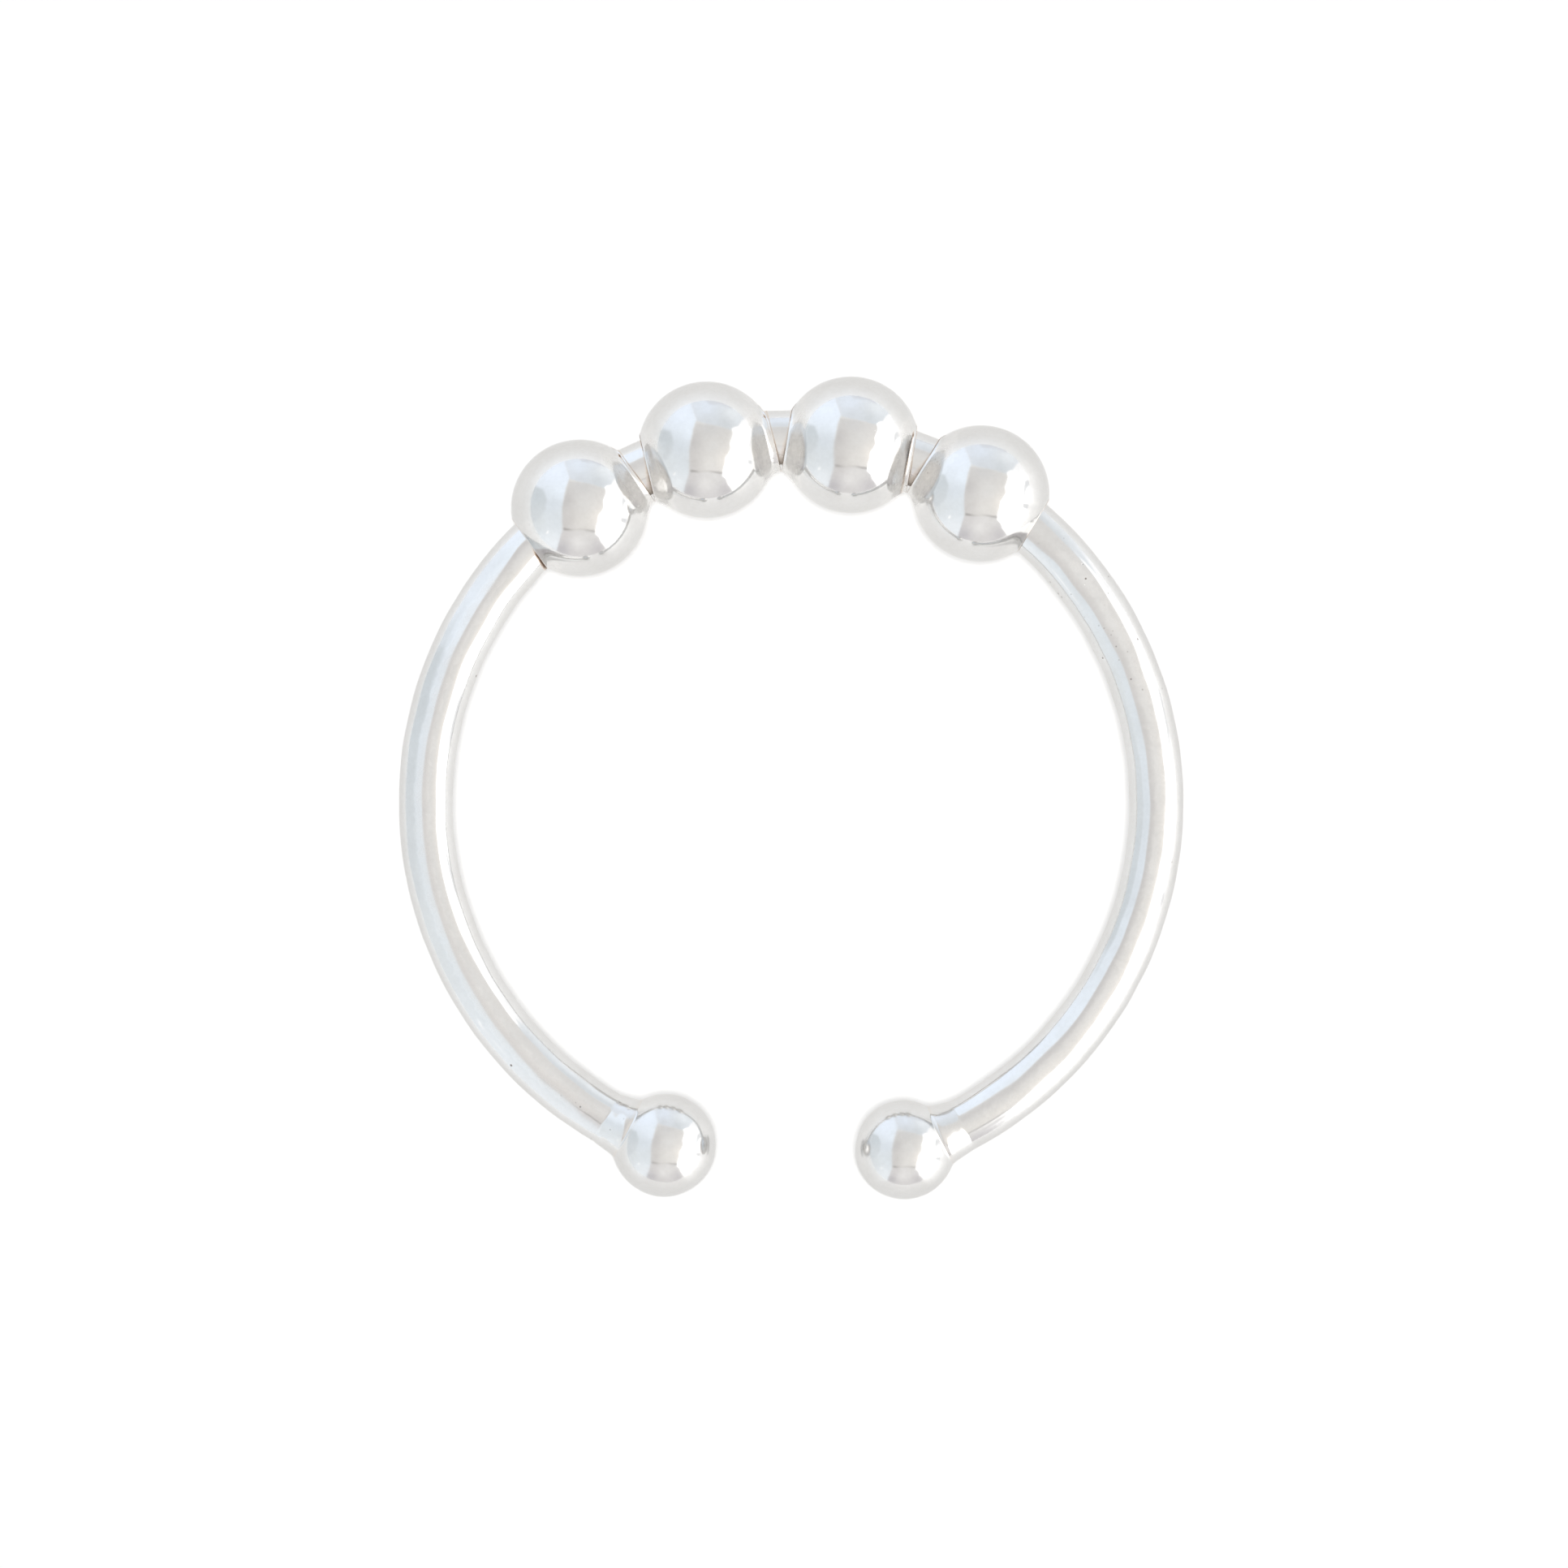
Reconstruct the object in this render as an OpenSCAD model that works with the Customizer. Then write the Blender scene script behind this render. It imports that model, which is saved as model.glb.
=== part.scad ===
// Open finger ring: one round wire with a ball soldered on each end, and four drilled beads loose on it.
// It lies flat. +Z runs along the finger, and +Y points from the ring's centre to the beads.
// Angles are measured from +Y, seen from +Z: clockwise ones are positive in the bead settings.

/* [Wire] */
// Inside diameter of the ring, which is the finger's size
inner_d = 17; // [17:0.5:20]
// Diameter of the round wire
wire_d = 1.4; // [1.3:0.02:1.4]
// Angle between the centres of the two end balls, seen from the ring's centre
open_angle = 38.4; // [30:0.2:50]

/* [End balls] */
// Diameter of the ball on the left end
left_ball_d = 2.64; // [2.4:0.02:3]
// Diameter of the ball on the right end
right_ball_d = 2.54; // [2.4:0.02:3]
// Length of the solder neck outside the ball, along the wire
neck_len = 0.45; // [0.2:0.05:0.6]
// How far the solder stands off the wire inside the ball
neck_rise = 0.25; // [0.15:0.05:0.35]

/* [Beads] */
// Diameter of each bead
bead_d = 3.48; // [3.3:0.02:3.5]
// Diameter of the hole drilled through each bead
bore_d = 1.6; // [1.58:0.02:1.6]
// Width of the raised rim round each end of the hole
rim_w = 0.08; // [0.04:0.02:0.1]
// Height of that rim over the bead's plain edge
rim_h = 0.05; // [0.02:0.01:0.05]
// Angle of the first bead from the left
bead_1_at = -36.8; // [-40:0.1:-36.8]
// Angle of the second bead
bead_2_at = -14.6; // [-14.6:0.1:-14]
// Angle of the third bead
bead_3_at = 8.4; // [8:0.1:8.4]
// Angle of the fourth bead
bead_4_at = 30.5; // [30.5:0.1:34]

/* [Hidden] */
$fn = 96;
wire_r = wire_d / 2;
// Radius of the wire's centre line
line_r = inner_d / 2 + wire_r;
// Angle from +Y to each end ball
end_angle = 180 - open_angle / 2;
// The solder neck starts this far out from the ball's centre, as a share of the ball's radius
neck_root = 0.6;
// The solder is this much thicker than the wire where it runs out
neck_lip = 0.02;
// Half the bead's length along its hole, rims included
bead_half = sqrt(pow(bead_d / 2, 2) - pow(bore_d / 2, 2)) + rim_h;
// The wire bends by this much within a straight hole, so the bead sits half of it further in
wire_bow = line_r - sqrt(pow(line_r, 2) - pow(bead_half, 2));
bead_line_r = line_r - wire_bow / 2;
// The drill runs past both ends of the bead
drill_len = bead_d + 1;

// The bent wire, from the right ball round by the beads to the left ball
module wire() {
    rotate([0, 0, 90 - end_angle])
        rotate_extrude(angle = 2 * end_angle)
            translate([line_r, 0]) circle(r = wire_r);
}

// A cone of solder round the wire. turn is 1 on the left end and -1 on the right
module solder_neck(ball_r, turn) {
    from = neck_root * ball_r;
    to = ball_r + neck_len;
    // The angle at the ring's centre from the ball to the middle of the neck
    middle = (from + to) / 2 / line_r * 180 / PI;
    rotate([0, 0, turn * (end_angle - middle)])
        translate([0, line_r, 0])
            rotate([0, turn * 90, 0])
                cylinder(h = to - from, r1 = wire_r + neck_rise, r2 = wire_r + neck_lip, center = true);
}

// A solid ball and its neck on one end of the wire
module end_ball(ball_d, turn) {
    rotate([0, 0, turn * end_angle])
        translate([0, line_r, 0])
            sphere(d = ball_d);
    solder_neck(ball_d / 2, turn);
}

// The wire, both balls and their solder are one piece of metal
module band() {
    color("silver") {
        wire();
        end_ball(left_ball_d, 1);
        end_ball(right_ball_d, -1);
    }
}

// A round bead with a straight hole and a low rim round each end of it
module bead(angle) {
    color("gainsboro")
        rotate([0, 0, -angle])
            translate([0, bead_line_r, 0])
                rotate([0, 90, 0])
                    difference() {
                        union() {
                            sphere(d = bead_d);
                            cylinder(h = 2 * bead_half, d = bore_d + 2 * rim_w, center = true);
                        }
                        cylinder(h = drill_len, d = bore_d, center = true);
                    }
}

module bead_1() { bead(bead_1_at); }
module bead_2() { bead(bead_2_at); }
module bead_3() { bead(bead_3_at); }
module bead_4() { bead(bead_4_at); }

band();
bead_1();
bead_2();
bead_3();
bead_4();
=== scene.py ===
import math
from typing import NamedTuple

import bpy
import numpy as np
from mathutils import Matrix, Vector, noise


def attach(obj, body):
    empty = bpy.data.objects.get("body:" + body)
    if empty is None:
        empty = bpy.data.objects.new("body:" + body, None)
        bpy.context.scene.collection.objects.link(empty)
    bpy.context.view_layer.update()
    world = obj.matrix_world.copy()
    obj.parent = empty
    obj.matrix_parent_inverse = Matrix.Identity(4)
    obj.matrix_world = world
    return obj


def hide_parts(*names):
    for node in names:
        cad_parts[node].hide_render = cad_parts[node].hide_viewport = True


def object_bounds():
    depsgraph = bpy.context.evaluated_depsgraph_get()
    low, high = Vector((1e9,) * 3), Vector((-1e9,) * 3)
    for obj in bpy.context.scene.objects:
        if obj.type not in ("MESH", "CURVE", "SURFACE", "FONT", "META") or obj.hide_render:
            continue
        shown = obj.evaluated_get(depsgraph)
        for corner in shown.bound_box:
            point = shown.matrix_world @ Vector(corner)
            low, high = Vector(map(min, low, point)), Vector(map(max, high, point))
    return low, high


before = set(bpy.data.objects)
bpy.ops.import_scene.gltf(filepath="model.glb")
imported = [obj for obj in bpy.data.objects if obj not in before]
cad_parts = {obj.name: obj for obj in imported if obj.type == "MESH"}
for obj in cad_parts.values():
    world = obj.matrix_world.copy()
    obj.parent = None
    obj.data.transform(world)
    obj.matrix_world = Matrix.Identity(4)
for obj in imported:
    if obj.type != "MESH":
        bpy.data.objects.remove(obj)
cad_low, cad_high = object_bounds()

MM = 0.001
UPWARDS = Vector((0, 0, 1))

# ---- The ring, with the sizes of the CAD solids (mm, degrees clockwise from +Y seen from +Z) ----
WIRE_R = 0.7
LINE_R = 9.2             # the wire's centre line
END_ANGLE = 160.8        # from +Y to each end ball
LEFT_BALL_R = 1.32
RIGHT_BALL_R = 1.27
BEAD_R = 1.74
BEAD_LINE_R = 9.1303     # the circle through the beads' centres
BEADS = {"bead_1": -36.8, "bead_2": -14.6, "bead_3": 8.4, "bead_4": 30.5}
BEAD_ANGLES = list(BEADS.values())
GAPS = [(a + b) / 2 for a, b in zip(BEAD_ANGLES, BEAD_ANGLES[1:])]    # the middles of the gaps between beads

# ---- The photograph's camera ----
PHOTO_TURN = math.radians(1.1)    # the camera is turned by this much against the ring
FRAME_WIDTH = 39.51 * MM          # what the picture shows from side to side
CAMERA_HEIGHT = 300 * MM
SENSOR = 36.0
CLIP = (0.01, 3.0)
# The picture's right and up
RIGHT = Vector((math.cos(PHOTO_TURN), math.sin(PHOTO_TURN), 0))
UP = Vector((-math.sin(PHOTO_TURN), math.cos(PHOTO_TURN), 0))
FRAME_CENTRE = RIGHT * (-0.178 * MM) + UP * (0.464 * MM)


# ---- Places and curves ----
def on_line(angle, radius):
    """A point of the ring's plane, by its angle clockwise from +Y in degrees and its radius."""
    a = math.radians(angle)
    return Vector((math.sin(a), math.cos(a), 0)) * radius


def along(angle):
    """The direction of the wire there, clockwise."""
    a = math.radians(angle)
    return Vector((math.cos(a), -math.sin(a), 0))


def angle_of(point):
    """The angle of a point, clockwise from +Y in degrees."""
    return math.degrees(math.atan2(point.x, point.y))


def eased(value, low, high):
    """0 up to low, 1 from high on, smooth between."""
    share = min(1.0, max(0.0, (value - low) / (high - low)))
    return share * share * (3 - 2 * share)


def hump(value, middle, width):
    """1 at the middle, falling off smoothly over the width to both sides."""
    return math.exp(-((value - middle) / width) ** 2)


def wobble(point, size, height):
    """Smooth unevenness of up to height either way, in bumps about size across."""
    return noise.noise(point / size) * height


# ---- Node helpers ----
def shader(name):
    """A new material, its node tree and its Principled shader."""
    material = bpy.data.materials.new(name)
    material.use_nodes = True
    tree = material.node_tree
    return material, tree, tree.nodes["Principled BSDF"]


def add(tree, kind, values=None, **settings):
    """Adds one node, sets its properties, then its sockets: a value, or another node's output."""
    made = tree.nodes.new(kind)
    for key, value in settings.items():
        setattr(made, key, value)
    for key, value in (values or {}).items():
        if isinstance(value, bpy.types.NodeSocket):
            tree.links.new(value, made.inputs[key])
        else:
            made.inputs[key].default_value = value
    return made


def scaled(tree, source, low, high, to_low=0.0, to_high=1.0):
    """Maps a value from low..high to to_low..to_high, clamped."""
    values = {"Value": source, "From Min": low, "From Max": high, "To Min": to_low, "To Max": to_high}
    return add(tree, "ShaderNodeMapRange", values).outputs["Result"]


def mixed(tree, share, first, second):
    """Mixes two colours by a share."""
    made = tree.nodes.new("ShaderNodeMix")
    made.data_type = "RGBA"
    for key, value in (("Factor_Float", share), ("A_Color", first), ("B_Color", second)):
        socket = next(s for s in made.inputs if s.identifier == key)
        if isinstance(value, bpy.types.NodeSocket):
            tree.links.new(value, socket)
        else:
            socket.default_value = value
    return next(s for s in made.outputs if s.identifier == "Result_Color")


def maths(tree, operation, first, second):
    """Adds or multiplies two values, or takes the larger one."""
    return add(tree, "ShaderNodeMath", {0: first, 1: second}, operation=operation).outputs[0]


def clouds(tree, place, scale, detail):
    """Soft noise at a place, by its scale per metre."""
    return add(tree, "ShaderNodeTexNoise", {"Vector": place, "Scale": scale, "Detail": detail}).outputs["Fac"]


def dots(tree, place, scale, core, edge):
    """Scattered dots, 1 at their cores and 0 past their edges, in shares of the distance between them."""
    cells = add(tree, "ShaderNodeTexVoronoi", {"Vector": place, "Scale": scale, "Randomness": 1.0})
    return scaled(tree, cells.outputs["Distance"], core, edge, 1.0, 0.0)


def mark(tree, name):
    """One of the values that a mesh carries on its vertices."""
    return add(tree, "ShaderNodeAttribute", attribute_name=name).outputs["Fac"]


# ---- Materials ----
# The silver's patterns: scale per metre and detail
CLOUD = (900.0, 4.0)
BLOTCH = (4000.0, 2.0)
GRIT = (9000.0, 3.0)
# Its pits: scale per metre, and the core and edge of each
FEW_PITS = (700.0, 0.012, 0.03)
MANY_PITS = (4000.0, 0.05, 0.13)
# From and to which value a pattern or mark counts, and what it turns into where that isn't 0 to 1
CLOUD_COUNTS = (0.35, 0.7, 0.0, 0.6)    # the clouding's broad part
GRIT_COUNTS = (0.3, 0.7, 0.0, 0.4)      # and its fine part
SHADE_AND_STAIN_BREAKS = (0.35, 0.6, 0.6, 1.0)    # blotches thin the tarnishing and the painted shade
SATIN_FRAYS = (0.3, 0.7, -0.08, 0.08)   # and fray the edges of satin
SATIN_SHOWS = (0.1, 0.75)
SHADE_AND_STAIN_SHOWS = (0.0, 0.5)
SHADE_AND_STAIN_DARKENS = (0.3, 0.9)
MIRROR_FADES = (0.1, 0.9, 1.0, 0.1)     # how metallic clear metal is, down to fully rubbed metal, and to full tarnishing and painted shade
POLISH_VARIES = (0.3, 0.7)
CLOUDED = (0.92, 0.914, 0.905)          # the cloudiest places, as shares of the silver's colour
SATIN = (0.95, 0.93, 0.90, 1)           # where it is rubbed dull
PIT = (0.10, 0.07, 0.05, 1)
# Browns for tarnished silver, also used for the painted shade on the wire by the beads' mouths
PALE_TARNISH_AND_SHADE = (0.70, 0.57, 0.46, 1)
DARK_TARNISH_AND_SHADE = (0.17, 0.10, 0.06, 1)
EDGE_TINT = (0.85, 0.85, 0.85, 1)       # how bright it is at a grazing angle
SATIN_SOFTNESS = 0.8                    # how far satin loses its mirror, beside tarnishing and painted shade, which are 1
SHADE_AND_STAIN_ROUGHNESS = 0.35
SATIN_ROUGHNESS = 0.1
GRAIN_BUMP = (0.02, 0.02 * MM)          # strength and height of the fine grain, and of the pits
PIT_BUMP = (0.4, 0.01 * MM)
# Colour, how dark the pits are, and the roughness from the clearest to the cloudiest places
BAND_SILVER = ((0.718, 0.714, 0.706), 0.8, (0.10, 0.18))
BEAD_SILVER = ((0.724, 0.720, 0.712), 0.6, (0.07, 0.13))
BEAD_SHIFT = 0.003                      # each bead has its patterns from this much further on (m)
SHIFT_ASIDE = 1.7                       # and from this many times as much to the side

FLOOR_TONES = ((0.90, 0.895, 0.885, 1), (0.92, 0.915, 0.905, 1))
FLOOR_GRAIN = (400.0, 5.0)
FLOOR_ROUGHNESS = 0.35
FLOOR_SHINE = 0.3
FLOOR_LIGHT = (1.0, 1.0, 0.995, 1)      # its own light, which makes it white and keeps the shadows faint
FLOOR_GLOW = 0.395


def silver_tone(tree, colour, pit_shade, cloud, grit, satin, pit, stain_and_shade):
    """The silver's colour: faint clouding, with satin, pits, tarnishing and painted shade over it."""
    clouded = tuple(c * share for c, share in zip(colour, CLOUDED))
    cloudy = maths(tree, "ADD", scaled(tree, cloud, *CLOUD_COUNTS), scaled(tree, grit, *GRIT_COUNTS))
    tone = mixed(tree, cloudy, (*colour, 1), (*clouded, 1))
    tone = mixed(tree, satin, tone, SATIN)
    tone = mixed(tree, maths(tree, "MULTIPLY", pit, pit_shade), tone, PIT)
    brown = mixed(tree, scaled(tree, stain_and_shade, *SHADE_AND_STAIN_DARKENS), PALE_TARNISH_AND_SHADE, DARK_TARNISH_AND_SHADE)
    return mixed(tree, scaled(tree, stain_and_shade, *SHADE_AND_STAIN_SHOWS), tone, brown)


def silver_roughness(tree, roughness, cloud, satin, stain_and_shade):
    """The silver's roughness: more where it is cloudy, rubbed, tarnished or painted with shade."""
    rough = scaled(tree, cloud, *POLISH_VARIES, *roughness)
    rough = maths(tree, "ADD", rough, maths(tree, "MULTIPLY", stain_and_shade, SHADE_AND_STAIN_ROUGHNESS))
    return maths(tree, "ADD", rough, maths(tree, "MULTIPLY", satin, SATIN_ROUGHNESS))


def silver_relief(tree, grit, pit):
    """The silver's bumps: a fine grain, with the pits sunk into it."""
    strength, height = GRAIN_BUMP
    grain = add(tree, "ShaderNodeBump", {"Height": grit, "Strength": strength, "Distance": height})
    strength, height = PIT_BUMP
    return add(tree, "ShaderNodeBump", {"Height": pit, "Strength": strength, "Distance": height,
                                        "Normal": grain.outputs["Normal"]}, invert=True).outputs["Normal"]


def silver(name, colour, pit_shade, roughness, shift):
    """Polished silver. The vertices say where it is tarnished or painted with shade, worn to a satin and
    thickly pitted.
    """
    material, tree, surface = shader(name)
    spot = add(tree, "ShaderNodeTexCoord").outputs["Object"]
    moved = add(tree, "ShaderNodeMapping", {"Vector": spot, "Location": (shift, shift * SHIFT_ASIDE, 0)})
    place = moved.outputs["Vector"]
    cloud, blotch, grit = (clouds(tree, place, *pattern) for pattern in (CLOUD, BLOTCH, GRIT))
    thick = maths(tree, "MULTIPLY", mark(tree, "pitted"), dots(tree, place, *MANY_PITS))
    pit = maths(tree, "MAXIMUM", dots(tree, place, *FEW_PITS), thick)
    # tarnishing, and on the wire painted shade by the beads' mouths, thinned by blotches
    stain_and_shade = maths(tree, "MULTIPLY", mark(tree, "tarnish_and_shade"), scaled(tree, blotch, *SHADE_AND_STAIN_BREAKS))
    frayed = maths(tree, "ADD", mark(tree, "worn"), scaled(tree, blotch, *SATIN_FRAYS))
    satin = scaled(tree, frayed, *SATIN_SHOWS)
    soft = maths(tree, "MAXIMUM", stain_and_shade, maths(tree, "MULTIPLY", satin, SATIN_SOFTNESS))
    for socket, source in (
        ("Base Color", silver_tone(tree, colour, pit_shade, cloud, grit, satin, pit, stain_and_shade)),
        ("Metallic", scaled(tree, soft, *MIRROR_FADES)),
        ("Roughness", silver_roughness(tree, roughness, cloud, satin, stain_and_shade)),
        ("Normal", silver_relief(tree, grit, pit)),
    ):
        tree.links.new(source, surface.inputs[socket])
    surface.inputs["Specular Tint"].default_value = EDGE_TINT
    return material


def paper(name):
    """The plain pale floor, with a little light of its own."""
    material, tree, surface = shader(name)
    grain = clouds(tree, add(tree, "ShaderNodeTexCoord").outputs["Object"], *FLOOR_GRAIN)
    tree.links.new(mixed(tree, grain, *FLOOR_TONES), surface.inputs["Base Color"])
    surface.inputs["Roughness"].default_value = FLOOR_ROUGHNESS
    surface.inputs["Specular IOR Level"].default_value = FLOOR_SHINE
    surface.inputs["Emission Color"].default_value = FLOOR_LIGHT
    surface.inputs["Emission Strength"].default_value = FLOOR_GLOW
    return material


# ---- Meshes ----
def ring_faces(count, around, joined):
    """Quads between neighbouring rings of points. joined also joins the last ring to the first."""
    faces = []
    for i in range(count if joined else count - 1):
        here, there = i * around, (i + 1) % count * around
        for j in range(around):
            k = (j + 1) % around
            faces.append((here + j, here + k, there + k, there + j))
    return faces


def placed(name, mesh, material):
    """A new object in the scene, of a mesh and its material."""
    mesh.materials.append(material)
    made = bpy.data.objects.new(name, mesh)
    bpy.context.collection.objects.link(made)
    return made


def build(name, rings, marks, poles, material, body, node):
    """A smooth piece through rings of points. poles closes its two ends; without them it joins round.

    marks holds the values of each vertex attribute, ring by ring.
    """
    count, around = len(rings), len(rings[0])
    points = [point for ring in rings for point in ring]
    faces = ring_faces(count, around, joined=not poles)
    marks = {key: [value for ring in values for value in ring] for key, values in marks.items()}
    if poles:
        for pole, ring, turned in ((poles[0], 0, True), (poles[1], count - 1, False)):
            tip = len(points)
            points.append(pole)
            for values in marks.values():
                values.append(0.0)
            for j in range(around):
                a, b = ring * around + j, ring * around + (j + 1) % around
                faces.append((tip, b, a) if turned else (tip, a, b))
    mesh = bpy.data.meshes.new(name)
    mesh.from_pydata([point * MM for point in points], [], faces)
    for key, values in marks.items():
        mesh.attributes.new(key, "FLOAT", "POINT").data.foreach_set("value", values)
    mesh.shade_smooth()
    piece = placed(name, mesh, material)
    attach(piece, body)
    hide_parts(node)
    return piece


# ---- Beads ----
# Inward, here, is the place round a bead's hole: 0 away from the ring's centre, and 1 towards it.
class Mouth(NamedTuple):
    """One mouth of a bead (mm)."""
    stands: float             # how far along the hole it stands out
    slope: float              # the slope of its collar
    bend: float               # how tightly the collar turns into the sphere: 1 is a parabola
    groove: tuple = None      # the distance from its edge to the groove, at inward 0 and 1
    widens: float = 0.0       # how much the groove widens inwards, which then runs on to inward 1
    black: float = 0.0        # up to which inward its edge is black


BEAD_AROUND = 180
BEAD_STEPS = 110            # steps from collar to collar
COLLAR_STEPS = 26
COLLAR_EVENNESS = 1.3       # 1 is even steps; more puts them closer together by the edge
BEAD_SKIN = 0.0065          # the sphere is this much inside the CAD's, so its unevenness stays inside too
FACE_R = BEAD_R - BEAD_SKIN
BEAD_WAVES = (0.9, 0.0015)  # size and height of its unevenness
# Places along the hole, and their tarnish
BORE = ((0.0, 0.9), (0.5, 0.9), (1.0, 0.8), (1.35, 0.45), (1.5, 0.35))
RIM_R = 0.785               # radius of the hole at its ends
# A mouth that stands out past FLARE_FROM opens by this share of the rest, clear of the curved wire
FLARE_FROM = 1.62
FLARE = 0.15
EDGE = 0.012                # radius of a mouth's two edges, at the hole and at the collar
LIP_WIDTH = 2.2 * EDGE      # the lip between them is at least this wide
RIM_STAIN = 0.3             # tarnish of the edge at the hole
EDGE_STAIN = 0.25           # and of the edge at the collar, where it isn't black
COLLAR_R = (0.812, 0.97)    # radius of the collar, at inward 0 and 1
COLLAR_GROWTH = 1.5         # the power of inward with which it grows
FILLET = (0.04, 0.26)       # how much further out it runs into the sphere, the least and the most
FILLET_GROWS = (0.05, 0.4)  # the inwards between which that grows
LEAST_COLLAR = 0.25         # the share of its length that a collar keeps its slope for, at the least
GROOVE = 0.012              # depth and half-width of the groove behind a lip
GROOVE_BEGINS = (0.12, 0.2)     # the inwards between which it sets in
GROOVE_WIDENS = (0.2, 0.7)      # between which it widens, if it does
GROOVE_ENDS = (0.35, 0.6)       # and between which it runs out, if it doesn't widen
GROOVE_LEFT = 0.1               # the share of its depth that is left then
GROOVE_STAIN = 0.4          # its tarnish, where it is at its full depth
BLOB = (0.22, 0.03)         # a dark blob where a groove begins: its inward and half-width
BLOB_WIDTH = 0.012          # how much wider the groove is there
# How rubbed a bead is round its mouths, at what distance from the hole's axis, and how widely; and how pitted
WORN = (0.54, 1.08, 0.24)
PITTED = (0.6, 0.95, 0.2)
SHELTERED = 0.25            # the share of both at inward 0, which is rubbed less
SHELTER_ENDS = (0.12, 0.4)  # the inwards between which that grows to 1
ALONE = 0.35                # the share of both at the two free ends of the row, which meet no neighbour

FREE_END = Mouth(1.548, 0.15, 1.0)
# The left and the right mouth of each bead
MOUTHS = {
    "bead_1": (FREE_END, Mouth(1.640, 0.02, 2.2, groove=(0.050, 0.065))),
    "bead_2": (Mouth(1.560, 0.18, 1.1, black=0.30), Mouth(1.705, 0.02, 2.2, groove=(0.050, 0.065))),
    "bead_3": (Mouth(1.612, 0.18, 1.1, black=0.30),
               Mouth(1.575, 0.02, 2.2, groove=(0.060, 0.130), widens=0.016)),
    "bead_4": (Mouth(1.608, 0.18, 1.1, black=0.42), FREE_END),
}


def lip_points(top, rim, collar, stain_and_shade):
    """A mouth's two rounded edges, at the hole and at the collar."""
    points = []
    for middle_r, first, tone in ((rim + EDGE, 0, RIM_STAIN), (collar - EDGE, 3, stain_and_shade)):
        for i in range(first, first + 4):
            a = math.pi * i / 6
            points.append((top - EDGE + EDGE * math.sin(a), middle_r - EDGE * math.cos(a), tone))
    return points


def collar_points(mouth, top, collar, foot):
    """A collar's side, which leaves its edge along its slope and runs out into the sphere at the foot."""
    from_x = top - EDGE
    foot_x = math.sqrt(FACE_R ** 2 - foot ** 2)
    # The bend is where the slope's line meets the sphere's tangent at the foot
    bend_x = (collar + mouth.slope * from_x - foot - foot_x ** 2 / foot) / (mouth.slope - foot_x / foot)
    bend_x = min(bend_x, from_x + LEAST_COLLAR * (foot_x - from_x))
    bend_r = collar - mouth.slope * (bend_x - from_x)
    points = []
    for i in range(1, COLLAR_STEPS + 1):
        t = (i / COLLAR_STEPS) ** COLLAR_EVENNESS
        near, middle, far = (1 - t) ** 2, 2 * t * (1 - t) * mouth.bend, t * t
        total = near + middle + far
        points.append(((near * from_x + middle * bend_x + far * foot_x) / total,
                       (near * collar + middle * bend_r + far * foot) / total))
    return points


def groove_at(mouth, inward, behind):
    """How deep a groove is, as a share of its full depth, and its tarnish, at a distance behind the edge."""
    middle = mouth.groove[0] + (mouth.groove[1] - mouth.groove[0]) * inward
    blob = hump(inward, *BLOB)
    width = GROOVE + mouth.widens * eased(inward, *GROOVE_WIDENS) + BLOB_WIDTH * blob
    left = 1.0 if mouth.widens else 1 - (1 - GROOVE_LEFT) * eased(inward, *GROOVE_ENDS)
    dent = eased(inward, *GROOVE_BEGINS) * left * hump(behind, middle, width)
    return dent, dent * (GROOVE_STAIN + (1 - GROOVE_STAIN) * blob)


def mouth_points(mouth, inward):
    """Points (distance along the hole, radius, tarnish) from the hole's middle to where the collar ends."""
    # Seen from above, a mouth's outer side stays within the sphere's outline, and so does all of a free end
    outline = math.sqrt(FACE_R ** 2 - (COLLAR_R[0] * (1 - 2 * inward)) ** 2)
    free = mouth is FREE_END
    top = min(mouth.stands, outline) if free or inward < 0.5 else mouth.stands
    if free:
        inward = 0.0
    rim = RIM_R + max(0.0, mouth.stands - FLARE_FROM) * FLARE
    collar = max(COLLAR_R[0] + (COLLAR_R[1] - COLLAR_R[0]) * inward ** COLLAR_GROWTH, rim + LIP_WIDTH)
    foot = collar + FILLET[0] + (FILLET[1] - FILLET[0]) * eased(inward, *FILLET_GROWS)
    points = [(x, rim, stain_and_shade) for x, stain_and_shade in BORE]
    points += lip_points(top, rim, collar, 1.0 if inward < mouth.black else EDGE_STAIN)
    for x, r in collar_points(mouth, top, collar, foot):
        dent, stain_and_shade = groove_at(mouth, inward, top - x) if mouth.groove else (0.0, 0.0)
        points.append((x, r - GROOVE * dent, stain_and_shade))
    return points


def bead_column(left, right, inward):
    """Points (x, radius, tarnish, skin) from the hole's middle, out by the right mouth and in by the left.

    skin is 1 on the sphere and 0 on the mouths.
    """
    near, far = mouth_points(right, inward), mouth_points(left, inward)
    start, stop = math.asin(near[-1][1] / FACE_R), math.pi - math.asin(far[-1][1] / FACE_R)
    column = [(*point, 0.0) for point in near]
    for i in range(1, BEAD_STEPS):
        polar = start + (stop - start) * i / BEAD_STEPS
        column.append((FACE_R * math.cos(polar), FACE_R * math.sin(polar), 0.0, 1.0))
    return column + [(-x, r, stain_and_shade, 0.0) for x, r, stain_and_shade in far[:0:-1]]


def wear_by_the_mouth(mouth, inward, r):
    """How rubbed and how pitted a bead is, at a distance from the hole's axis."""
    if r <= COLLAR_R[0]:
        return 0.0, 0.0
    share = SHELTERED + (1 - SHELTERED) * eased(inward, *SHELTER_ENDS)
    share *= ALONE if mouth is FREE_END else 1.0
    return tuple(share * most * hump(r, middle, width) for most, middle, width in (WORN, PITTED))


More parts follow.
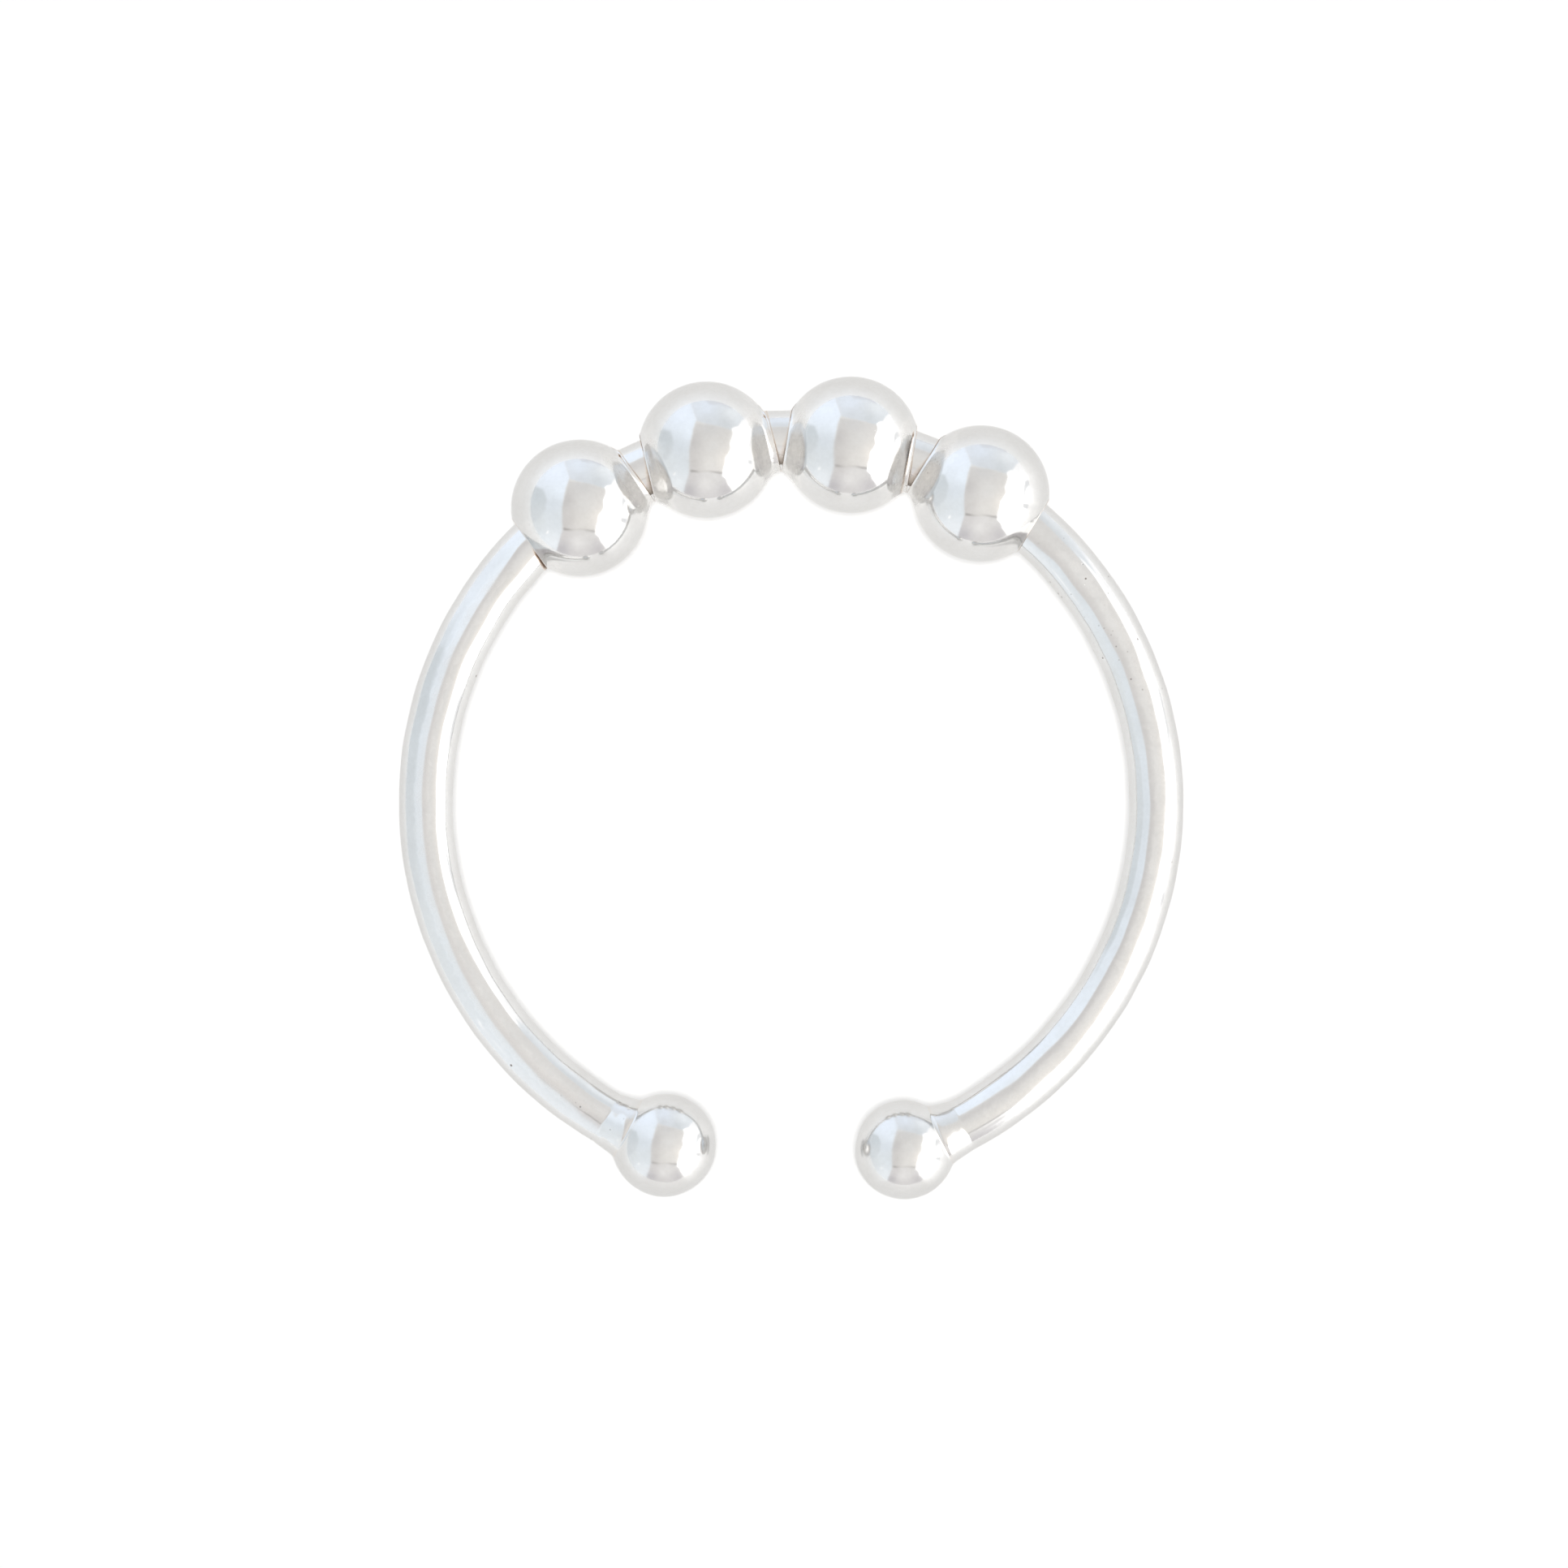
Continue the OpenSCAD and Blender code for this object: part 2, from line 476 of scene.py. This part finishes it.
def bead(name, angle, material):
    """One drilled bead: a sphere drawn out to a low collar at each end of its hole."""
    left, right = MOUTHS[name]
    turns = [2 * math.pi * j / BEAD_AROUND for j in range(BEAD_AROUND)]
    inwards = [(1 - math.cos(turn)) / 2 for turn in turns]
    columns = [bead_column(left, right, inward) for inward in inwards]
    centre, forward, out = on_line(angle, BEAD_LINE_R), along(angle), on_line(angle, 1)
    rings = []
    marks = {"tarnish_and_shade": [], "worn": [], "pitted": []}
    for row in zip(*columns):
        ring, wear = [], []
        for turn, inward, (x, r, _, skin) in zip(turns, inwards, row):
            spot = forward * x + (out * math.cos(turn) + UPWARDS * math.sin(turn)) * r
            uneven = skin * wobble(spot + centre, *BEAD_WAVES)
            ring.append(centre + spot * (1 + uneven / BEAD_R))
            wear.append(wear_by_the_mouth(right if x > 0 else left, inward, r))
        rings.append(ring)
        marks["tarnish_and_shade"].append([stain_and_shade for _, _, stain_and_shade, _ in row])
        marks["worn"].append([worn for worn, _ in wear])
        marks["pitted"].append([pitted for _, pitted in wear])
    return build(name + "_ball", rings, marks, None, material, name, name)


# ---- Band ----
# Section, here, is the place round the wire in degrees: 0 away from the ring's centre, 90 up, 180 towards it.
class MouthShade(NamedTuple):
    """Painted shade on the wire, brown like tarnished silver, in front of a mouth where its bead stands at
    rest (mm).
    """
    bead: str
    side: int                 # 0 is its left mouth, and 1 its right one
    strength: float
    reach: float              # how much wider it is on the side towards the ring's centre
    begins: float = -1.0      # how far towards the ring's centre it begins; -1 is all round


class Rub(NamedTuple):
    """A stretch of the wire that is rubbed."""
    start: float              # from and to which angle of the ring
    stop: float
    share: float              # how much
    section: float            # where on the section


BAND_AROUND = 100
ARC_STEP = 0.7
FINE_STEP = 0.12              # the arc step where the painted shade by the mouths needs a finer mesh
FINE_AT = GAPS + [BEAD_ANGLES[0] - 10]    # which is in the gaps and in front of the first mouth
FINE_HALF = 2.6               # half the angle of each such stretch
CAP_STEPS = 60                # steps from a ball's pole to its neck, and along the neck
NECK_STEPS = 36
NECK_FROM = 42.0              # angle from the neck's side at which the solder leaves the ball
NECK_LEN = 0.64               # length of the solder along the wire, from where it leaves the ball
NECK_FADE = 0.3               # plain wire carried on past the solder before the even steps begin
NECK_SIDE_RISE = 0.11         # how far the solder stands off the wire at its thickest, at the sides
NECK_TOP_RISE = 0.23          # and at the top
CREASE = 0.06                 # length of the crease where the solder leaves the ball
CREASE_STAIN = 0.12
SOLDER_LUMPS = (0.22, 0.008)  # size and height of the lumps in the solder
LEFT_LUMPS = 1.0              # and how much of that there is at each end
RIGHT_LUMPS = 0.5
BAND_WAVES = (0.8, 0.014)     # size and height of the band's unevenness
BAND_SINK = 0.010             # it is this much inside the CAD's, so that its unevenness stays inside too
SPECKLED = ((-148.0, 4.0), (52.0, 6.0), (66.0, 5.0))    # angle and half-width of the pitted stretches
RUBBED = (Rub(-152.0, -46.0, 0.34, 80.0), Rub(40.0, 152.0, 0.20, 84.0))
RUB_HALF = 17.0               # half the width of a rubbed stretch on the section
RUN_OUT = 9.0                 # the angle over which such a stretch, or the flat, fades at each end
FLAT_ALONG = (-156.0, -47.0)  # a slight flat from bending, on the left: from and to which angle of the ring
FLAT_DEPTH = 0.045
FLAT_SECTION = 57.0
FLAT_HALF = 29.0
DULL = 0.75                   # how dull the inner flank of the wire is between two beads
DULL_HALF = 1.1               # over what half angle of the ring
DULL_FROM = (0.45, 0.75)      # the shares of the wire's radius inwards between which that comes in

# Painted shade where the wire runs into each bead's hole and into the narrow gaps between beads, fixed where
# the beads stand at rest
MOUTH_SHADES = (MouthShade("bead_1", 0, 0.95, 0.05, begins=0.1), MouthShade("bead_1", 1, 0.33, 0.02),
               MouthShade("bead_2", 0, 0.33, 0.10), MouthShade("bead_2", 1, 0.33, 0.02),
               MouthShade("bead_3", 0, 0.33, 0.10), MouthShade("bead_3", 1, 0.33, 0.02),
               MouthShade("bead_4", 0, 0.33, 0.10))
MOUTH_SHADE_WIDTH = 0.02            # width of such painted shade on the side away from the ring's centre
MOUTH_SHADE_WIDENS = (-0.2, 0.7)    # from and to how far towards the ring's centre it widens
MOUTH_SHADE_FADES = (0.3, 1.5)      # it fades between these shares of its width
MOUTH_SHADE_BLENDS = 0.3            # and over this distance where it begins
MOUTH_SHADE_UNDER = 0.12            # how far it goes on under the bead
MOUTH_SHADE_NEAR = 0.4              # no shade is painted further in front of a mouth than this


def neck_profile(ball_r):
    """Points (distance from the ball's centre, radius at the sides, at the top, tarnish) from the pole on."""
    shape = []
    for i in range(1, CAP_STEPS + 1):
        polar = math.radians(180 - (180 - NECK_FROM) * i / CAP_STEPS)
        radius = ball_r * math.sin(polar)
        shape.append((ball_r * math.cos(polar), radius, radius, 0.0))
    start_x, start_r = shape[-1][:2]
    for i in range(1, NECK_STEPS + 1):
        run = (NECK_LEN + NECK_FADE) * i / NECK_STEPS
        share = max(0.0, 1 - run / NECK_LEN)
        crease = math.exp(-run / CREASE)
        side, top = (WIRE_R + rise * share + (start_r - WIRE_R - rise) * crease
                     for rise in (NECK_SIDE_RISE, NECK_TOP_RISE))
        shape.append((start_x + run, side, top, CREASE_STAIN * crease))
    return shape


def mouth_shade_at(spot):
    """Painted shade on the wire in front of the beads' mouths, brown like tarnished silver."""
    most = 0.0
    for stain_and_shade in MOUTH_SHADES:
        angle = BEADS[stain_and_shade.bead]
        offset = spot - on_line(angle, BEAD_LINE_R)
        inward = -offset.dot(on_line(angle, 1))
        away = (2 * stain_and_shade.side - 1) * offset.dot(along(angle)) - MOUTHS[stain_and_shade.bead][stain_and_shade.side].stands
        if abs(away) < MOUTH_SHADE_NEAR and abs(inward) < BEAD_R:
            width = MOUTH_SHADE_WIDTH + stain_and_shade.reach * eased(inward, *MOUTH_SHADE_WIDENS)
            here = stain_and_shade.strength * (1 - eased(away, *(share * width for share in MOUTH_SHADE_FADES)))
            here *= eased(inward, stain_and_shade.begins, stain_and_shade.begins + MOUTH_SHADE_BLENDS)
            here *= eased(away, -MOUTH_SHADE_UNDER, 0)
            most = max(most, here)
    return most


def pits_at(angle):
    """How thickly the wire is pitted there: most by the left neck and beyond the fourth bead."""
    return max(hump(angle, middle, half) for middle, half in SPECKLED)


def stretch(angle, start, stop):
    """1 between two angles of the ring, fading to 0 at both."""
    return eased(angle, start, start + RUN_OUT) * (1 - eased(angle, stop - RUN_OUT, stop))


def wear_at(angle, section):
    """How rubbed the wire is: along its crest, and on its inner flank between the beads."""
    crest = sum(rub.share * stretch(angle, rub.start, rub.stop) * hump(section, rub.section, RUB_HALF)
                for rub in RUBBED)
    off = min(abs(angle - gap) for gap in GAPS)
    flank = eased(-math.cos(math.radians(section)), *DULL_FROM)
    return crest + DULL * math.exp(-(off / DULL_HALF) ** 4) * flank


def band_ring(centre, forward, side_r, top_r, tarnish_and_shade=0.0, lumps=0.0, hub=None):
    """One ring of the band: its points, and for each its tarnishing and painted shade, its wear and its pits.
    hub is a ball's centre.
    """
    side = UPWARDS.cross(forward).normalized()
    angle = angle_of(centre)
    flat = FLAT_DEPTH * stretch(angle, *FLAT_ALONG)
    points, stains_and_shade, worn = [], [], []
    for j in range(BAND_AROUND):
        a = 2 * math.pi * j / BAND_AROUND
        section = math.degrees(a)
        out = side * math.cos(a) + UPWARDS * math.sin(a)
        radius = side_r + (top_r - side_r) * math.sin(a) ** 2
        radius -= flat * hump((section - FLAT_SECTION + 180) % 360 - 180, 0, FLAT_HALF)
        spot = centre + out * radius
        uneven = wobble(spot, *BAND_WAVES) - BAND_SINK + lumps * wobble(spot, *SOLDER_LUMPS)
        lift = (spot - hub).normalized() if hub else out
        points.append(spot + lift * uneven)
        # the darker of the crease's tarnishing and the painted shade by the beads' mouths
        stains_and_shade.append(max(tarnish_and_shade, mouth_shade_at(spot)))
        worn.append(wear_at(angle, section))
    return points, stains_and_shade, worn, [pits_at(angle)] * BAND_AROUND


def ball_end(ball_r, turn, lumps):
    """The rings of a ball and its neck, clockwise, the angle that they take up, and the ball's pole.

    turn is -1 at the left end and 1 at the right one.
    """
    middle = on_line(turn * END_ANGLE, LINE_R)
    shape = neck_profile(ball_r)
    reach = shape[-1][0]
    start_x = reach - NECK_LEN - NECK_FADE
    chord = (on_line(turn * (END_ANGLE - math.degrees(reach / LINE_R)), LINE_R) - middle).normalized()
    rings = []
    for x, side_r, top_r, tarnish_and_shade in (shape if turn < 0 else shape[::-1]):
        # Straight along the chord at the pole, turning into the wire's arc
        share = eased(x, 0, reach)
        angle = turn * (END_ANGLE - math.degrees(x / LINE_R))
        centre = (middle + chord * x).lerp(on_line(angle, LINE_R), share)
        forward = (chord * -turn).lerp(along(angle), share).normalized()
        rough = lumps if start_x < x < start_x + NECK_LEN else 0.0
        hub = middle if x < start_x else None
        rings.append(band_ring(centre, forward, side_r, top_r, tarnish_and_shade, rough, hub))
    pole = middle - chord * ball_r
    pole -= chord * (wobble(pole, *BAND_WAVES) - BAND_SINK)
    return rings, math.degrees(reach / LINE_R), pole


def wire_angles(start, stop):
    """The angles of the plain wire's rings."""
    angle = start
    while True:
        fine = any(abs(angle - middle) < FINE_HALF for middle in FINE_AT)
        angle += FINE_STEP if fine else ARC_STEP
        if angle > stop - ARC_STEP / 2:
            return
        yield angle


def band(material):
    """The wire, its end balls and the solder necks, as one sweep from ball to ball."""
    left, left_reach, left_pole = ball_end(LEFT_BALL_R, -1, LEFT_LUMPS)
    right, right_reach, right_pole = ball_end(RIGHT_BALL_R, 1, RIGHT_LUMPS)
    wire = [band_ring(on_line(angle, LINE_R), along(angle), WIRE_R, WIRE_R)
            for angle in wire_angles(left_reach - END_ANGLE, END_ANGLE - right_reach)]
    rings, stains_and_shade, worn, pitted = zip(*left, *wire, *right)
    marks = {"tarnish_and_shade": stains_and_shade, "worn": worn, "pitted": pitted}
    return build("band_wire", rings, marks, (left_pole, right_pole), material, "band", "band")


# ---- Studio: a dome round the ring, seen only in the metal ----
# Places on the dome are written as where they show in a mirror ball seen from above:
# x to the right and y up in the photograph, in ball radii, with the horizon at 0.7071.
DOME_R = 900 * MM
DOME_RINGS = 150
DOME_SPOKES = 3 * DOME_RINGS
DOME_RHO = (0.002, 0.7071)
DOME_GAIN = 1.19
WALL = (0.90, 0.90, 0.89)
ANCHOR_SPREAD = 0.004       # how softly a patch's tones run into each other
# Each patch: its name, how wide its edge fades, its outline, and places with their tones
PATCHES = [
    ("left panel", 0.03,
     [(-0.29, 0.74), (-0.22, 0.68), (-0.14, 0.43), (-0.19, 0.30), (-0.23, 0.11), (-0.24, -0.22),
      (-0.22, -0.32), (-0.27, -0.48), (-0.33, -0.70), (-0.62, -0.60), (-0.80, -0.20), (-0.80, 0.20),
      (-0.62, 0.50), (-0.45, 0.66)],
     [((-0.35, 0.5), (1.03, 1.125, 1.27)), ((-0.24, 0.25), (1.01, 1.10, 1.21)),
      ((-0.38, 0.05), (0.825, 0.89, 0.96)), ((-0.3, -0.15), (0.87, 0.93, 0.98)),
      ((-0.6, -0.2), (0.86, 0.91, 0.94)), ((-0.42, -0.5), (1.02, 1.07, 1.12))]),
    ("left patch", 0.05,
     [(-0.74, 0.36), (-0.52, 0.27), (-0.47, 0.12), (-0.50, -0.05), (-0.62, -0.18), (-0.75, -0.20)],
     [((-0.58, 0.2), (0.73, 0.79, 0.84)), ((-0.6, -0.1), (0.80, 0.85, 0.89))]),
    ("top panel", 0.03,
     [(-0.24, 0.74), (-0.13, 0.41), (0.0, 0.37), (0.2, 0.33), (0.38, 0.26), (0.62, 0.52), (0.36, 0.66),
      (0.0, 0.76)],
     [((0.0, 0.60), (0.94, 1.02, 1.14)), ((0.37, 0.53), (1.02, 1.07, 1.12)),
      ((0.27, 0.38), (0.77, 0.815, 0.855)), ((0.0, 0.42), (0.81, 0.855, 0.91))]),
    ("top shade", 0.04,
     [(-0.02, 0.71), (0.04, 0.66), (0.20, 0.65), (0.36, 0.59), (0.40, 0.62), (0.22, 0.70), (0.10, 0.72)],
     [((0.2, 0.7), (0.82, 0.86, 0.93))]),
    ("column", 0.04,
     [(-0.15, 0.38), (0.1, 0.35), (0.38, 0.28), (0.40, 0.0), (0.30, -0.33), (-0.25, -0.33), (-0.25, 0.0)],
     [((-0.2, 0.1), (0.68, 0.665, 0.665)), ((-0.2, -0.2), (0.75, 0.73, 0.72)),
      ((0.05, 0.33), (0.78, 0.78, 0.785)), ((0.08, 0.05), (0.885, 0.88, 0.87)),
      ((0.3, -0.15), (1.10, 1.05, 0.99)), ((0.05, -0.22), (0.95, 0.935, 0.91))]),
    ("base", 0.03,
     [(-0.25, -0.33), (0.30, -0.35), (0.33, -0.50), (0.38, -0.62), (0.30, -0.69), (0.0, -0.735),
      (-0.36, -0.68)],
     [((-0.26, -0.60), (0.62, 0.605, 0.635)), ((-0.02, -0.50), (1.02, 1.01, 1.00)),
      ((0.28, -0.6), (0.72, 0.70, 0.72)), ((-0.02, -0.72), (0.80, 0.78, 0.78)),
      ((-0.2, -0.38), (0.80, 0.78, 0.78)), ((0.12, -0.40), (0.92, 0.91, 0.90))]),
    ("fold", 0.032,
     [(-0.23, -0.29), (-0.10, -0.315), (0.02, -0.305), (0.25, -0.335), (0.25, -0.36), (0.02, -0.325),
      (-0.10, -0.335), (-0.23, -0.325)],
     [((-0.2, -0.3), (0.40, 0.38, 0.37)), ((-0.03, -0.32), (0.86, 0.84, 0.82)),
      ((0.22, -0.35), (0.45, 0.43, 0.42))]),
    ("window", 0.014,
     [(0.59, 0.52), (0.55, 0.455), (0.50, 0.42), (0.46, 0.345), (0.40, 0.325), (0.365, 0.30), (0.385, 0.235),
      (0.37, 0.17), (0.345, 0.10), (0.355, 0.01), (0.325, -0.055), (0.28, -0.115), (0.27, -0.20),
      (0.245, -0.28), (0.235, -0.38), (0.29, -0.43), (0.316, -0.50), (0.37, -0.56), (0.43, -0.67),
      (0.53, -0.60), (0.64, -0.48), (0.72, -0.25), (0.80, -0.02), (0.76, 0.16), (0.71, 0.30), (0.65, 0.46)],
     [((0.55, 0.0), (2.2, 2.2, 2.2)), ((0.40, 0.0), (1.9, 1.9, 1.9)), ((0.45, -0.4), (1.9, 1.9, 1.9)),
      ((0.54, 0.36), (1.13, 1.14, 1.16))]),
    ("window bar", 0.03,
     [(0.61, 0.10), (0.63, 0.19), (0.68, 0.215), (0.77, 0.18), (0.77, 0.10), (0.69, 0.115), (0.655, 0.07),
      (0.635, -0.06), (0.61, -0.06)],
     [((0.70, 0.16), (0.89, 0.91, 0.93)), ((0.62, -0.04), (1.05, 1.06, 1.08))]),
    ("window foot", 0.03,
     [(0.60, -0.13), (0.72, -0.14), (0.78, -0.20), (0.70, -0.235), (0.60, -0.20)],
     [((0.66, -0.18), (0.90, 0.91, 0.93))]),
    ("lamp", 0.03,
     [(-0.485, -0.362), (-0.46, -0.325), (-0.452, -0.332), (-0.462, -0.36)],
     [((-0.48, -0.36), (1.4, 1.4, 1.4))]),
]
FLOOR_R = 1.05 * DOME_R
FLOOR_SIDES = 96
SUNS = {"overhead": (1.65, 9), "fill": (0.5, 175)}    # strength, and how widely the light spreads in degrees
WORLD = (0.95, 0.95, 0.95, 1)


def inside_by(x, y, outline):
    """Distance of every point to an outline, positive inside it."""
    near = np.full(x.shape, np.inf)
    inside = np.zeros(x.shape, bool)
    for (ax, ay), (bx, by) in zip(outline, outline[1:] + outline[:1]):
        dx, dy = bx - ax, by - ay
        t = np.clip(((x - ax) * dx + (y - ay) * dy) / (dx * dx + dy * dy), 0, 1)
        near = np.minimum(near, np.hypot(x - ax - t * dx, y - ay - t * dy))
        if ay != by:
            crosses = (ay > y) != (by > y)
            inside ^= crosses & (x < ax + (y - ay) * dx / dy)
    return np.where(inside, near, -near)


def dome_tones(x, y):
    """The dome's brightness and colour at mirror-ball places x, y."""
    tones = np.ones((*x.shape, 3)) * WALL
    for _, feather, outline, anchors in PATCHES:
        cover = np.clip(inside_by(x, y, outline) / feather + 0.5, 0, 1)
        cover = (cover * cover * (3 - 2 * cover))[..., None]
        weights = [1 / (np.hypot(x - ax, y - ay) ** 2 + ANCHOR_SPREAD)[..., None] for (ax, ay), _ in anchors]
        tone = sum(w * np.array(colour) for w, (_, colour) in zip(weights, anchors)) / sum(weights)
        tones = tones * (1 - cover) + tone * cover
    return tones


def dome_light():
    """A material that shines with the tones on the dome's vertices."""
    material = bpy.data.materials.new("studio_dome")
    material.use_nodes = True
    tree = material.node_tree
    tree.nodes.clear()
    tone = add(tree, "ShaderNodeAttribute", attribute_name="tone").outputs["Color"]
    light = add(tree, "ShaderNodeEmission", {"Color": tone, "Strength": DOME_GAIN})
    add(tree, "ShaderNodeOutputMaterial", {"Surface": light.outputs[0]})
    material.cycles.emission_sampling = "NONE"
    return material


def dome():
    """A hemisphere of rings and spokes, with its colours on its vertices."""
    rho = np.linspace(*DOME_RHO, DOME_RINGS)
    turns = np.linspace(0, 2 * math.pi, DOME_SPOKES, endpoint=False)
    tones = dome_tones(rho[:, None] * np.cos(turns), rho[:, None] * np.sin(turns))
    points = []
    for polar in 2 * np.arcsin(rho):
        across, height = math.sin(polar) * DOME_R, math.cos(polar) * DOME_R
        points += [RIGHT * (across * math.cos(turn)) + UP * (across * math.sin(turn)) + UPWARDS * height
                   for turn in turns]
    mesh = bpy.data.meshes.new("studio_dome")
    mesh.from_pydata(points, [], ring_faces(DOME_RINGS, DOME_SPOKES, joined=False))
    opaque = np.ones((*tones.shape[:2], 1))
    colours = mesh.attributes.new("tone", "FLOAT_COLOR", "POINT")
    colours.data.foreach_set("color", np.concatenate([tones, opaque], axis=2).ravel())
    piece = placed("studio_dome", mesh, dome_light())
    piece.visible_camera = False
    piece.visible_diffuse = False
    piece.visible_shadow = False


def floor(material):
    """The pale table, at the height of the beads' lowest points."""
    mesh = bpy.data.meshes.new("floor")
    turns = [math.tau * i / FLOOR_SIDES for i in range(FLOOR_SIDES)]
    edge = [(FLOOR_R * math.cos(turn), FLOOR_R * math.sin(turn), 0) for turn in turns]
    mesh.from_pydata(edge, [], [tuple(range(FLOOR_SIDES))])
    piece = placed("floor", mesh, material)
    piece.location.z = cad_low.z


def lights():
    """Soft light from above for the floor, which the metal doesn't mirror, and a pale world behind it all."""
    for name, (energy, spread) in SUNS.items():
        lamp = bpy.data.lights.new(name, "SUN")
        lamp.energy = energy
        lamp.angle = math.radians(spread)
        holder = bpy.data.objects.new(name, lamp)
        holder.visible_glossy = False
        bpy.context.collection.objects.link(holder)
    world = bpy.data.worlds.new("world")
    world.use_nodes = True
    world.node_tree.nodes["Background"].inputs["Color"].default_value = WORLD
    bpy.context.scene.world = world
    world.cycles_visibility.diffuse = False


def camera():
    """Straight above the ring, turned and placed as in the photograph."""
    data = bpy.data.cameras.new("camera")
    data.sensor_width = SENSOR
    data.lens = SENSOR * CAMERA_HEIGHT / FRAME_WIDTH
    data.clip_start, data.clip_end = CLIP
    holder = bpy.data.objects.new("camera", data)
    holder.location = FRAME_CENTRE + UPWARDS * CAMERA_HEIGHT
    holder.rotation_euler = (0, 0, PHOTO_TURN)
    bpy.context.collection.objects.link(holder)
    bpy.context.scene.camera = holder


camera()
band(silver("band_silver", *BAND_SILVER, 0.0))
for number, (name, angle) in enumerate(BEADS.items()):
    bead(name, angle, silver(name + "_silver", *BEAD_SILVER, BEAD_SHIFT * (number + 1)))
dome()
floor(paper("paper"))
lights()
bpy.context.scene.view_settings.view_transform = "Standard"
